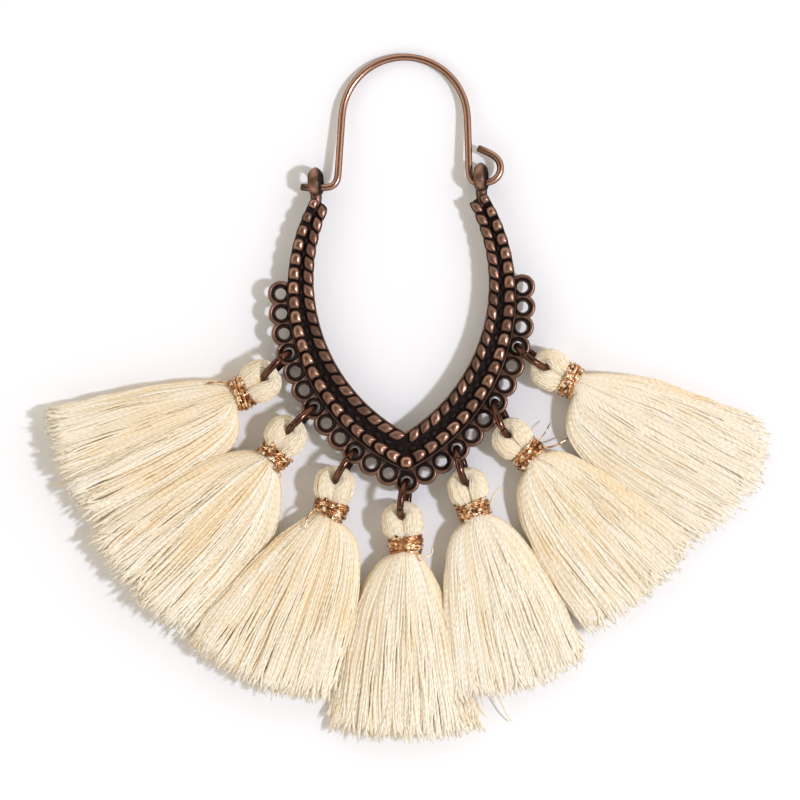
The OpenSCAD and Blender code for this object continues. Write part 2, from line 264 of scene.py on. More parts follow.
def copper_material(name, dark, worn, roughness, grain):
    """Copper that is blackened where the tint is 0 and worn bright where it is 1; on the wires and
    the eyes a low tint also paints shade on their flanks.
    """
    material, graph, shader = new_material(name, {"Specular IOR Level": 0.12})
    cloudy = graph.noise(PATINA_CLOUDS)
    fine = graph.noise(PATINA_GRAIN, 5)
    # The tint holds patina and wear, and on wires and eyes painted shade as well.
    wear = graph.maths("ADD", graph.attribute("tint")["Fac"], graph.gap(cloudy, 0.5, 0.5))
    middle = [(a + b) / 2.6 for a, b in zip(dark, worn)]
    colour = graph.ramp(wear, [(0.08, *dark), (0.45, *middle), (0.85, *worn)])
    graph.link(colour, shader.inputs["Base Color"])
    graph.link(graph.ramp(wear, [(0.1, 0, 0, 0), (0.5, 1, 1, 1)]), shader.inputs["Metallic"])
    rough = graph.maths("ADD", roughness, graph.gap(fine, 0.5, grain))
    rough = graph.maths("ADD", rough, graph.gap(0.6, wear, 0.25), clamp=True)
    graph.link(rough, shader.inputs["Roughness"])
    graph.bump(shader, fine, grain, PATINA_DEPTH)
    return material


def cotton_material():
    """Cream cotton: each thread has its own tint, which also carries painted light and shade, a
    twist and fine fibres.
    """
    material, graph, shader = new_material("cotton_thread", {
        "Roughness": 0.82,
        "Specular IOR Level": 0.12,
        "Sheen Weight": 0.2,
        "Sheen Roughness": 0.5,
        "Sheen Tint": (1.0, 0.86, 0.64, 1),
    })
    tint = graph.attribute("tint")["Fac"]
    cloudy = graph.noise(COTTON_CLOUDS, 2)
    yarn = graph.split(graph.attribute("yarn")["Vector"])
    turn = graph.maths("ARCTAN2", yarn["Y"], yarn["X"])
    ridges = graph.maths("MULTIPLY", turn, TWIST_RIDGES)
    twist = graph.maths("SINE", graph.maths("MULTIPLY_ADD", yarn["Z"], TWIST_RATE, ridges))
    value = graph.maths("ADD", tint, graph.gap(cloudy, 0.5, 0.5))
    # The twist darkens the colour in the grooves between its ridges: painted shade, beside the
    # bump below.
    value = graph.maths("MULTIPLY_ADD", twist, 0.12, value)
    colour = graph.ramp(value, [
        (0.0, 0.87, 0.61, 0.3),
        (0.3, 0.89, 0.705, 0.445),
        (0.65, 0.905, 0.78, 0.572),
        (1.0, 0.93, 0.855, 0.708),
    ])
    graph.link(colour, shader.inputs["Base Color"])
    height = graph.maths("ADD", twist, graph.noise(COTTON_FUZZ, 4))
    graph.bump(shader, height, 0.55, COTTON_DEPTH)
    return material


def metallic_thread_material():
    """Copper foil wound on thread: small facets that catch the light one by one through their
    bumps, and are also coloured from near black to pale cream as painted shade and glints.
    """
    constants = {"Metallic": 0.9, "Roughness": 0.3}
    material, graph, shader = new_material("metallic_thread", constants)
    facets = graph.add("ShaderNodeTexVoronoi", Scale=FOIL_FACETS)
    graph.link(graph.coordinates("Object"), facets.inputs["Vector"])
    cell = graph.split(facets.outputs["Color"])
    # Painted glints and shade: each facet gets a colour from near black to pale cream.
    colour = graph.ramp(cell["X"], [
        (0.0, 0.13, 0.05, 0.018),
        (0.35, 0.46, 0.2, 0.08),
        (0.7, 0.78, 0.44, 0.21),
        (0.9, 1.0, 0.84, 0.6),
    ])
    graph.link(colour, shader.inputs["Base Color"])
    graph.bump(shader, cell["Y"], 0.9, FOIL_DEPTH)
    return material


CAST_COPPER = copper_material(
    "cast_copper", (0.011, 0.005, 0.004), (0.48, 0.265, 0.185), roughness=0.36, grain=0.3)
HOOK_COPPER = copper_material(
    "hook_copper", (0.035, 0.016, 0.01), (0.47, 0.26, 0.18), roughness=0.34, grain=0.14)
DARK_COPPER = copper_material(
    "dark_copper", (0.012, 0.006, 0.005), (0.17, 0.075, 0.048), roughness=0.26, grain=0.2)
COTTON = cotton_material()
METALLIC_THREAD = metallic_thread_material()


# Meshes

class Shell:
    """Points in millimetres, faces, and a tint and a yarn place for each point."""

    def __init__(self):
        self.points, self.faces, self.tints, self.yarns = [], [], [], []
        self.count = 0

    def add(self, points, faces, tint=0.5, yarn=(0, 0, 0)):
        points = np.asarray(points, float).reshape(-1, 3)
        tint = np.asarray(tint, float).reshape(-1)
        yarn = np.asarray(yarn, float).reshape(-1, 3)
        for group in faces:
            self.faces += (np.asarray(group) + self.count).tolist()
        self.points.append(points)
        self.tints.append(np.broadcast_to(tint, (len(points),)))
        self.yarns.append(np.broadcast_to(yarn, (len(points), 3)))
        self.count += len(points)


def new_object(name, data):
    made = bpy.data.objects.new(name, data)
    bpy.context.scene.collection.objects.link(made)
    return made


def make_piece(name, shell, material, body, slot, *nodes):
    mesh = bpy.data.meshes.new(name)
    mesh.from_pydata((np.concatenate(shell.points) * MM).tolist(), [], shell.faces)
    tint = mesh.attributes.new("tint", "FLOAT", "POINT")
    tint.data.foreach_set("value", np.concatenate(shell.tints).astype(np.float32))
    yarn = mesh.attributes.new("yarn", "FLOAT_VECTOR", "POINT")
    yarn.data.foreach_set("vector", np.concatenate(shell.yarns).astype(np.float32).ravel())
    mesh.polygons.foreach_set("use_smooth", np.ones(len(mesh.polygons), bool))
    mesh.materials.append(material)
    piece = new_object(name, mesh)
    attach(piece, body)
    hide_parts(*nodes)


def unit(vectors):
    return vectors / np.maximum(np.linalg.norm(vectors, axis=-1, keepdims=True), 1e-9)


def full_turn(count):
    """As many angles as count, evenly round a circle."""
    return np.arange(count) * 2 * np.pi / count


def turned(angle):
    return np.array([math.cos(angle), math.sin(angle), 0.0])


def carried(paths, place, angle):
    """From a tassel's own place to the table: turned by angle and moved to place."""
    c, s = math.cos(angle), math.sin(angle)
    x, y, z = np.moveaxis(paths, -1, 0)
    return np.stack([place[0] + x * c - y * s, place[1] + x * s + y * c, z], -1)


def smooth_path(controls, steps):
    """Catmull-Rom curve through control points, for many curves at once."""
    before = 2 * controls[:, :1] - controls[:, 1:2]
    after = 2 * controls[:, -1:] - controls[:, -2:-1]
    controls = np.concatenate([before, controls, after], 1)
    spans = controls.shape[1] - 3
    t = np.linspace(0, spans, steps)
    k = np.minimum(t.astype(int), spans - 1)
    f = (t - k)[None, :, None]
    a, b, c, d = (controls[:, k + n] for n in range(4))
    return 0.5 * (2 * b + (c - a) * f + (2 * a - 5 * b + 4 * c - d) * f ** 2
                  + (3 * b - a - 3 * c + d) * f ** 3)


def grid_faces(rows, columns, wrap):
    """Quads of a grid of points, joined round each row where wrap is true."""
    row = np.arange(rows - 1)[:, None]
    column = np.arange(columns if wrap else columns - 1)[None]
    after = (column + 1) % columns
    corners = [row * columns + column, row * columns + after,
               (row + 1) * columns + after, (row + 1) * columns + column]
    shape = (rows - 1, column.size)
    return np.stack([np.broadcast_to(corner, shape) for corner in corners], -1).reshape(-1, 4)


def cap_faces(rows, columns):
    """The two ends of such a grid that is joined round each row."""
    corner = np.arange(columns)
    return np.stack([corner[::-1], corner + (rows - 1) * columns])


# How far along its yarn a thread may start, so that the twists of neighbours don't line up
YARN_STARTS = 9


def tubes(shell, paths, radii, sides, tints, up=(0, 0, 1)):
    """Round tubes along many paths of as many points, closed at both ends."""
    paths = np.asarray(paths, float)
    count, steps, _ = paths.shape
    radii = np.broadcast_to(radii, (count, steps))
    tangent = unit(np.gradient(paths, axis=1))
    side = unit(np.cross(tangent, up))
    top = np.cross(side, tangent)
    c, s = np.cos(full_turn(sides)), np.sin(full_turn(sides))
    rim = c[:, None] * side[:, :, None] + s[:, None] * top[:, :, None]
    points = paths[:, :, None] + radii[:, :, None, None] * rim
    length = np.repeat(rng.uniform(0, YARN_STARTS, (count, 1)), steps, axis=1)
    length[:, 1:] += np.cumsum(np.linalg.norm(np.diff(paths, axis=1), axis=-1), axis=1)
    yarn = np.stack(np.broadcast_arrays(c, s, length[:, :, None]), -1)
    tints = np.asarray(tints, float)
    tints = tints[..., None] if tints.ndim == 2 else tints.reshape(-1, 1, 1)
    tints = np.broadcast_to(tints, (count, steps, sides))
    start = (np.arange(count) * steps * sides)[:, None, None]
    wall = grid_faces(steps, sides, True)[None] + start
    caps = cap_faces(steps, sides)[None] + start
    shell.add(points, [wall.reshape(-1, 4), caps.reshape(-1, sides)], tints, yarn)


def wire_wear_and_flank_shade(wear, sides, least, turn=0.0):
    """Tints of a wire: least on its flanks, darkened there as painted shade, and wear more on the
    two faces between them.
    """
    dark, blend = 0.2, 0.62
    # Painted shade: the wire is darkest on its flanks, which turn sideways, and lightest on the
    # faces between them.
    face = np.abs(np.sin(full_turn(sides) + turn))
    unshaded_face = np.clip((face - dark) / blend, 0, 1) ** 1.3
    return (least + wear[:, None] * unshaded_face[None]).ravel()


# Rows of the frame's band, as in the part's source

def half_w(row):
    return OPENING_W / 2 + row * BAND_W


def row_y(row):
    return -WIDEST_DROP - row * OUTER_SLIP


def arc_x(row):
    depth = OPENING_H + row * POINT_W + row_y(row)
    return (depth ** 2 - half_w(row) ** 2) / (2 * half_w(row))


def arc_r(row):
    return half_w(row) + arc_x(row)


def point_angle(row):
    return -np.arccos(arc_x(row) / arc_r(row))


def on_row(row, angle):
    return np.stack([arc_r(row) * np.cos(angle) - arc_x(row),
                     row_y(row) + arc_r(row) * np.sin(angle)], -1)


def cut_angle(row):
    """Angle at which a row meets the slanted cut end of the arm, found in a few rounds."""
    corner_angle = np.arcsin((-ARM_DROP - row_y(0)) / arc_r(0))
    corner = on_row(0, corner_angle)
    angle = corner_angle
    for _ in range(30):
        x = on_row(row, angle)[..., 0]
        y = -ARM_DROP + ARM_END_SLOPE * (x - corner[..., 0])
        angle = np.arcsin((y - row_y(row)) / arc_r(row))
    return angle


SCALLOP_ROW = 1 + (SCALLOP_D / 2 - SCALLOP_BITE) / BAND_W
DROP = OPENING_H + SCALLOP_ROW * POINT_W
LEAN = math.asin((RING_D / 2 - EYE_R) / DROP)


def leaning(points):
    """From the frame's own plane to where the frame leans."""
    x, y, z = np.moveaxis(np.asarray(points, float), -1, 0)
    return np.stack([x, y * math.cos(LEAN) + z * math.sin(LEAN),
                     z * math.cos(LEAN) - y * math.sin(LEAN)], -1) + ORIGIN


def put(points, place, angle, side):
    """Points given along, across and above a row, put at a place of the right or left arm."""
    along, across, up = np.moveaxis(points, -1, 0)
    x = place[0] - along * math.sin(angle) + across * math.cos(angle)
    y = place[1] + along * math.cos(angle) + across * math.sin(angle)
    return leaning(np.stack([side * x, y, up], -1))


# Relief on the band: length along its row, width across it, height, and how square it is. It
# shrinks towards the ends of the arms, apart from the pearls, which swell towards the point
ROPE_SIZE = (1.53, 1.26, 0.42, 4)
ROPE_SLANT = 0.54
ROPE_SHRINK = 0.16
BEAD_SIZE = (1.6, 1.38, 0.54, 3.4)
BEAD_SHRINK = 0.24
POINT_BEAD_SIZE = (1.4, 1.5, 0.58, 2.5)
PEARL_SIZE = (0.95, 0.5, 0.22, 2.2)
PEARL_SWELL = 0.3
PEARL_DEPTH = 0.1
SHRINK_POWER = 8

# Rings of points on a piece of relief, as shares of its outline, from near its top to its foot
RELIEF_RINGS = np.array([0.3, 0.55, 0.78, 0.93, 1.0, 1.0])
RELIEF_SIDES = 20
RELIEF_FOOT = -0.35


def pillow(length, width, height, square, base=BAND_T / 2, slant=0.0, arch=0.0):
    """Rounded relief with a superellipse outline, and how far up each point is, from 0 to 1."""
    up = np.sqrt(np.maximum(0, 1 - RELIEF_RINGS ** 2.4))
    up[-1] = RELIEF_FOOT
    phi = full_turn(RELIEF_SIDES)
    c, s = np.cos(phi), np.sin(phi)
    reach = (np.abs(c) ** square + np.abs(s) ** square) ** (-1 / square)
    a = RELIEF_RINGS[:, None] * (reach * c)[None]
    b = RELIEF_RINGS[:, None] * (reach * s)[None]
    along = a * length / 2 + slant * b * width / 2 - arch * (b ** 2 - 0.3)
    high = np.broadcast_to(up[:, None], a.shape)
    points = np.stack([along, b * width / 2, base + height * high], -1).reshape(-1, 3)
    points = np.concatenate([points, [[arch * 0.3, 0, base + height]]])
    rings = len(RELIEF_RINGS)
    corner = np.arange(RELIEF_SIDES)
    tip = np.full(RELIEF_SIDES, rings * RELIEF_SIDES)
    fan = np.stack([corner, (corner + 1) % RELIEF_SIDES, tip], -1)
    worn = np.append(np.clip(high, 0, 1).reshape(-1), 1.0)
    return points, [grid_faces(rings, RELIEF_SIDES, True)[:, ::-1], fan], worn


def add_relief(shell, relief, row, angle, side, low, high):
    """Relief put on a row of an arm, with tints from low at its foot to high on its top."""
    points, faces, worn = relief
    if side < 0:
        faces = [np.asarray(group)[:, ::-1] for group in faces]
    tint = low + (high - low) * worn ** 1.5
    shell.add(put(points, on_row(row, angle), angle, side), faces, tint)


def row_steps(row, pitch, spare):
    """Angle from one piece of relief to the next on a row, and how many an arm holds."""
    step = pitch / arc_r(row)
    return step, int((cut_angle(row) - point_angle(row)) / step - spare)


def add_rope(shell):
    """Slanted strands along the inner row, which turn the same way on both arms."""
    length, width, height, square = ROPE_SIZE
    step, count = row_steps(ROPE_ROW, ROPE_PITCH, 0.1)
    for side in (-1, 1):
        for i in range(count):
            angle = point_angle(ROPE_ROW) + (i + 0.75) * step
            slant = -side * ROPE_SLANT * rng.uniform(0.85, 1.15)
            size = 1 - ROPE_SHRINK * (i / count) ** SHRINK_POWER
            relief = pillow(length * size, width * size, height * rng.uniform(0.94, 1.05), square,
                            slant=slant)
            add_relief(shell, relief, ROPE_ROW, angle, side, -0.25, rng.uniform(0.45, 0.9))


def add_beads(shell):
    """Nested beads along the outer row, arched towards the arm's end, and one at the point."""
    length, width, height, square = BEAD_SIZE
    step, count = row_steps(BEAD_ROW, BEAD_PITCH, 0.3)
    for side in (-1, 1):
        for i in range(1, count + 1):
            angle = point_angle(BEAD_ROW) + i * step
            arch = 0.12 + 0.36 * (1 - i / count) ** 0.7
            size = 1 - BEAD_SHRINK * (i / count) ** SHRINK_POWER
            relief = pillow(length * size, width * size, height * rng.uniform(0.95, 1.05), square,
                            arch=arch)
            add_relief(shell, relief, BEAD_ROW, angle, side, -0.25, rng.uniform(0.6, 1.05))
    points, faces, worn = pillow(*POINT_BEAD_SIZE)
    place = [0, on_row(BEAD_ROW, point_angle(BEAD_ROW))[1], 0]
    faces = [np.asarray(group)[:, ::-1] for group in faces]
    shell.add(leaning(points[:, [1, 0, 2]] + place), faces, 0.1 + 0.85 * worn)


def add_channel(shell):
    """Low dark pearls in the channel between the two rows."""
    length, width, height, square = PEARL_SIZE
    step, count = row_steps(CHANNEL_ROW, CHANNEL_PITCH, 1)
    for side in (-1, 1):
        for i in range(count):
            angle = point_angle(CHANNEL_ROW) + (i + 0.6) * step
            swollen = width + PEARL_SWELL * (1 - i / count)
            relief = pillow(length, swollen, height, square, BAND_T / 2 - PEARL_DEPTH)
            add_relief(shell, relief, CHANNEL_ROW, angle, side, -0.3, 0.08)


# Cross-section of the band: row, height over its middle, and wear
BAND_PROFILE = np.array([
    (0.0, -0.4, 0.3), (0.0, 0.1, 0.2), (0.0, 0.48, 0.2), (0.012, 0.56, 0.5),
    (0.03, 0.6, 0.5), (0.05, 0.56, 0.15), (0.07, 0.5, -0.1), (0.1, 0.46, -0.2),
    (0.25, 0.44, -0.2), (0.4, 0.44, -0.2), (0.45, 0.38, -0.2), (0.5, 0.36, -0.2),
    (0.55, 0.38, -0.2), (0.6, 0.44, -0.2), (0.75, 0.46, -0.2), (0.93, 0.46, -0.2),
    (0.95, 0.5, -0.1), (0.965, 0.54, 0.25), (0.985, 0.5, 0.3), (1.0, 0.36, 0.15),
    (1.0, -0.1, 0.1), (1.0, -0.38, 0.2), (0.97, -0.48, 0.4), (0.7, -0.5, 0.5),
    (0.3, -0.5, 0.5), (0.03, -0.48, 0.4),
])
BAND_STEPS = 61


def add_band(shell):
    """Both arms as one bar from end to end, with a round corner at each side of its ends."""
    rows, heights, wear = BAND_PROFILE.T
    share = np.linspace(0, 1, BAND_STEPS)
    first, last = point_angle(rows), cut_angle(rows)
    last = last - ARM_ROUND / arc_r(rows) * np.abs(2 * rows - 1) ** 4
    right = on_row(rows[None], first + share[:, None] * (last - first))
    x = np.concatenate([-right[:0:-1, :, 0], right[..., 0]])
    y = np.concatenate([right[:0:-1, :, 1], right[..., 1]])
    points = leaning(np.stack([x, y, np.broadcast_to(heights, x.shape)], -1))
    columns, size = x.shape
    total = columns * size
    ends = []
    for start, middle, order in ((0, total, 1), (total - size, total + 1, -1)):
        ring = start + np.arange(size)
        fan = np.stack([ring, np.roll(ring, -1), np.full(size, middle)], -1)
        ends.append(fan[:, ::order])
    middles = [points[0].mean(0), points[-1].mean(0)]
    everything = np.concatenate([points.reshape(-1, 3), middles])
    tint = np.append(np.broadcast_to(wear, (columns, size)).reshape(-1), [0.3, 0.3])
    shell.add(everything, [grid_faces(columns, size, True), *ends], tint)


def add_loop(shell, points, worn, order=1):
    """Cross-sections joined round a loop; order is -1 where they run the other way."""
    rows = np.append(np.arange(len(points)), 0)
    faces = grid_faces(len(rows), points.shape[1], True)[:, ::order]
    shell.add(leaning(points[rows]), [faces], worn[rows])


# Cross-section of a scallop ring: distance from the hole's middle, height, and wear
SCALLOP_PROFILE = np.array([
    (0.62, -0.34, 0.1), (0.62, 0.1, 0.0), (0.64, 0.3, 0.1), (0.7, 0.38, 0.34),
    (0.78, 0.35, 0.1), (0.87, 0.3, -0.05), (0.96, 0.32, -0.05), (1.02, 0.46, 0.1),
    (1.11, 0.58, 0.42), (1.24, 0.61, 0.6), (1.36, 0.54, 0.48), (1.43, 0.36, 0.15),
    (1.45, 0.1, 0.1), (1.45, -0.25, 0.2), (1.4, -0.36, 0.4), (0.7, -0.37, 0.4),
])
SCALLOP_SIDES = 40

# What is higher than SCALLOP_RIM is the rim, which sinks by SCALLOP_SINK beside the band
SCALLOP_RIM = 0.4
SCALLOP_SINK = 0.28


def scallop_place(i):
    """Middle and arc angle of scallop ring number i, counted from the centre to the right."""
    angle = point_angle(SCALLOP_ROW) + abs(i) * SCALLOP_PITCH / arc_r(SCALLOP_ROW)
    place = on_row(SCALLOP_ROW, angle)
    return np.array([math.copysign(place[0], i) if i else 0.0, place[1]]), angle


def add_scallops(shell):
    """Rings that meet halfway to their neighbours, with their rim on the outside."""
    reach, height, wear = (column[:, None] for column in SCALLOP_PROFILE.T)
    phi = full_turn(SCALLOP_SIDES)
    way = np.stack([np.cos(phi), np.sin(phi)], -1)
    for i in range(-SCALLOPS, SCALLOPS + 1):
        middle, angle = scallop_place(i)
        limit = np.full(SCALLOP_SIDES, SCALLOP_D / 2)
        for k in (i - 1, i + 1):
            if abs(k) > SCALLOPS:
                continue
            gap = scallop_place(k)[0] - middle
            half = np.linalg.norm(gap) / 2
            towards = way @ (gap / (2 * half))
            cut = np.where(towards > 0.1, (half + 0.01) / np.maximum(towards, 0.1), SCALLOP_D)
            limit = np.minimum(limit, cut)
        outward = [math.cos(angle) * (1 if i > 0 else -1), math.sin(angle)] if i else [0, -1]
        inside = np.clip(-(way @ np.array(outward)) * 1.6 - 0.3, 0, 1)
        radius = np.minimum(reach, limit)
        up = height - SCALLOP_SINK * inside * (height > SCALLOP_RIM)
        x, y = middle[:, None, None] + radius * way.T[:, None]
        add_loop(shell, np.stack([x, y, up], -1), wear * (1 - 0.8 * inside), -1)


EYE_STEPS = 48
EYE_SIDES = 18
NECK_STEPS = 11
NECK_SIDES = 14


def add_eye(shell, side):
    """Upright eye, seen edge on from above, rounded at its far end and with a neck to the arm."""
    phi = full_turn(EYE_STEPS)[:, None]
    section = full_turn(EYE_SIDES)[None]
    c, s = np.cos(section), np.sin(section)
    far = np.clip(np.cos(phi), 0, 1) ** 3
    near = np.clip(-np.cos(phi), 0, 1) ** 3
    r = EYE_R - EYE_WALL / 2 + EYE_WALL / 2 * c - (0.36 * far + 0.12 * near) * s ** 2
    x = side * EYE_X + EYE_W / 2 * (1 - 0.08 * far - 0.14 * near) * s
    y, z = r * np.cos(phi), r * np.sin(phi)
    # Lighter on the outer side of the eye's upper half; the next line darkens its right flank as
    # painted shade.
    worn = 0.08 + 0.6 * np.clip(c, 0, 1) ** 1.5 * np.clip(0.4 + np.sin(phi), 0, 1)
    worn = worn - 0.7 * np.clip(s - 0.15, 0, 1)
    add_loop(shell, np.stack([x - EYE_LEAN * z, y, z], -1), worn)
    drop = np.linspace(-EYE_R + 0.5, -ARM_DROP - 0.5, NECK_STEPS)
    inward = side * (EYE_X - 0.04 * (drop + EYE_R) ** 2)
    neck = np.stack([inward, drop, np.zeros(NECK_STEPS)], -1)
    width = np.interp(drop, [drop[-1], -2.4, -EYE_R, drop[0]], [0.42, 0.56, 0.66, 0.6])
    tubes(shell, leaning(neck)[None], width[None], NECK_SIDES, 0.4)
    # The neck's flanks are darkened as painted shade.
    shell.tints[-1] = wire_wear_and_flank_shade(np.full(NECK_STEPS, 0.45), NECK_SIDES, 0)


def make_frame():
    shell = Shell()
    add_band(shell)
    add_rope(shell)
    add_beads(shell)
    add_channel(shell)
    add_scallops(shell)
    for side in (-1, 1):
        add_eye(shell, side)
    make_piece("frame_casting", shell, CAST_COPPER, "earring", "antique_copper", "frame")


# Ear hook

# Length of a step along the wire, and how many steps its bends are eased over to each side
HOOK_STEP = 0.14
HOOK_EASE = 7
HOOK_SIDES = 20


def arc(centre, radius, start, turn, steps):
    angle = start + turn * np.linspace(0, 1, steps)
    return np.stack([centre[0] + radius * np.cos(angle), centre[1] + radius * np.sin(angle)], -1)


def hook_path():
    """Middle line of the bent wire in the hook's own plane, from the tail to the curl's tip.

    The last number of each arc and line is how many points it has."""
    arch = np.array([ARCH_SHIFT, HOOK_H - ARCH_R])
    left = np.array([-LEFT_PIN_X, BEND_R])
    right = np.array([ARCH_SHIFT + ARCH_R + BEND_R, BEND_R])
    to_arch = arch - left
    leg = math.acos((ARCH_R + BEND_R) / np.hypot(*to_arch)) - math.atan2(to_arch[1], to_arch[0])
    tail_x = -(EYE_X + EYE_W / 2 + TAIL_LEN)
    tail_s, tail_c = math.sin(TAIL_BEND), math.cos(TAIL_BEND)
    tail = np.array([tail_x, 0]) + BEND_R * np.array([-tail_s, 1 - tail_c])
    tip = tail + TAIL_TIP * np.array([-tail_c, tail_s])
    curl_s, curl_c = math.sin(CURL_TURN), math.cos(CURL_TURN)
    curl = np.array([EYE_X + EYE_W / 2 - WIRE_GAP, CURL_R])
    curl_end = curl + CURL_R * np.array([curl_c, curl_s])
    curl_tip = curl_end + CURL_TIP * np.array([-curl_s, curl_c])
    half = math.pi / 2
    return np.concatenate([
        np.linspace(tip, tail, 5),
        arc((tail_x, BEND_R), BEND_R, -half - TAIL_BEND, TAIL_BEND, 5)[1:],
        np.linspace((tail_x, 0), (-LEFT_PIN_X, 0), 8)[1:],
        arc(left, BEND_R, -half, half - leg, 10)[1:],
        arc(arch, ARCH_R, math.pi - leg, leg - math.pi, 60),
        arc(right, BEND_R, math.pi, half, 10),
        np.linspace((right[0], 0), (curl[0], 0), 8)[1:],
        arc(curl, CURL_R, -half, half + CURL_TURN, 24)[1:],
        np.linspace(curl_end, curl_tip, 9)[1:],
    ])


def even_steps(path, step):
    """The same line with points a step apart."""
    length = np.append(0, np.cumsum(np.linalg.norm(np.diff(path, axis=0), axis=-1)))
    places = np.linspace(0, length[-1], int(length[-1] / step) + 1)
    return np.stack([np.interp(places, length, column) for column in path.T], -1)


def eased(path, reach):
    """The same line with its bends eased over as many points to both sides as reach."""
    before = path[:1] + (path[:1] - path[reach:0:-1])
    after = path[-1:] + (path[-1:] - path[-2:-reach - 2:-1])
    longer = np.concatenate([before, path, after])
    return np.stack([longer[k:k + len(path)] for k in range(2 * reach + 1)]).mean(0)


def from_ends(steps):
    """How many points each point of a line is away from the nearer end."""
    return np.minimum(np.arange(steps), np.arange(steps)[::-1])


def make_hook():
    flat = eased(even_steps(hook_path(), HOOK_STEP), HOOK_EASE)
    pin_y = -(EYE_R - EYE_WALL) + WIRE_D / 2 + WIRE_GAP
    slope = math.asin((EYE_R - WIRE_D / 2) / HOOK_H)
    path = np.stack([flat[:, 0], flat[:, 1] * math.cos(slope), -flat[:, 1] * math.sin(slope)], -1)
    path = path + ORIGIN + [0, pin_y, 0]
    end = from_ends(len(path))
    radius = WIRE_D / 2 * np.interp(end, [0, 1, 2], [0.8, 0.96, 1])
    up = (0, math.sin(slope), math.cos(slope))
    shell = Shell()
    tubes(shell, path[None], radius[None], HOOK_SIDES, 0.8, up)
    # Painted shade on the wire's flanks, and darker towards its two cut ends.
    shell.tints = [wire_wear_and_flank_shade(np.interp(end, [0, 2, 10], [0.05, 0.3, 0.85]), HOOK_SIDES, 0.06)]
    make_piece("ear_hook_wire", shell, HOOK_COPPER, "hook", "hook_copper", "ear_hook")


# Jump rings and tassels

RING_STEPS = 72
RING_SIDES = 14

# Half the slit between a ring's ends, in radians, and where every other ring has it, in degrees
RING_SLIT = 0.012
RING_SEAMS = (118, 62)


def middle_of(node):
    low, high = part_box(node)
    return np.array((low + high) / 2) / MM


def ring_frame(i):
    """Middle of jump ring i, the way it points and the way up in its leaning plane."""
    ring_way, _, ring_lean, _, _ = TASSELS[i]
    along = turned(math.radians(ring_way))
    side = np.array([-along[1], along[0], 0])
    lean = math.radians(ring_lean)
    upward = -math.sin(lean) * side + math.cos(lean) * np.array([0, 0, 1.0])
    return middle_of(f"jump_ring_{i + 1}"), along, upward


def make_jump_ring(i):
    """Ring of round wire with a fine slit, high up where its two ends meet."""
    middle, along, upward = ring_frame(i)
    ring_r = (RING_D - RING_WIRE_D) / 2
    seam = math.radians(RING_SEAMS[i % 2])
    angle = seam + np.linspace(RING_SLIT, 2 * math.pi - RING_SLIT, RING_STEPS)
    path = middle + ring_r * (np.cos(angle)[:, None] * along + np.sin(angle)[:, None] * upward)
    radius = RING_WIRE_D / 2 * np.interp(from_ends(RING_STEPS), [0, 1, 2], [0.84, 0.97, 1])
    radius = radius * (1 + 0.02 * np.sin(5 * angle + i))
    worn = 0.35 + 0.3 * np.clip(np.sin(angle), 0, 1) + 0.1 * np.sin(3 * angle + 2 * i)
    shell = Shell()
    tubes(shell, path[None], radius[None], RING_SIDES, 0.5, np.cross(along, upward))
    # Lighter on the ring's upper half; painted shade on the wire's flanks.
    shell.tints = [wire_wear_and_flank_shade(worn, RING_SIDES, 0.05, math.pi / 2)]
    make_piece(f"jump_ring_wire_{i + 1}", shell, DARK_COPPER, "earring", "dark_copper",
               f"jump_ring_{i + 1}")


def half_t(i, u):
    """Half thickness of skirt i at a share u of its length."""
    shoulder = (SKIRT_T / 2 - NECK_R) * (1 - (1 - u) ** 8)
    return NECK_R + shoulder + (TIP_T[i] - SKIRT_T) / 2 * u ** 1.5


def mid_z(i, u):
    """Height of the middle of skirt i, which comes down from the binding to the table."""
    return half_t(i, u) + (BINDING_R - NECK_R) * (1 - u) ** 6


def spread(i, across, u):
    """Half width of skirt i on the side where across lies, at a share u of its length."""
    before, after = np.array(SIDES[i][:3]), np.array(SIDES[i][3:])
    tip, puff, shoulder = np.moveaxis(np.where(across[..., None] < 0, before, after), -1, 0)
    at_once = 1 - np.exp(-u / PUFF_REACH)
    fan = shoulder * (1 - (1 - u) ** 4) + (1 - shoulder) * u
    return NECK_R + (tip - NECK_R) * (puff * at_once + (1 - puff) * fan)


def overlap(i, k):
    """How far threads of tassel i lie over its neighbour k, or 0 without one."""
    if k < 0 or k >= len(TASSELS):
        return 0
    return OVERLAPS[k] if k < i else -OVERLAPS[i]


# Steps of a thread, how much farther apart they get towards its tip, the share of its length
# where its tip starts to curl, and how many waves of crimp it has for each of its larger turns
SKIRT_STEPS = 23
STEP_GROWTH = 1.25
CURL_SHARE = 0.86
CRIMP_TURNS = 3.3

# How far a thread may go past the side of its skirt, its room under the top, how far a side is
# lifted or pressed down by its neighbour and where it begins, how low a thread may lie, and
# where it starts inside its binding
PAST_SIDE = 1.03
THREAD_ROOM = 0.17
LIFT_OVER = 0.6
PRESS_UNDER = 0.45
SIDE_SHARE = 0.45
LOWEST = 0.2
NECK_INSIDE = -0.3


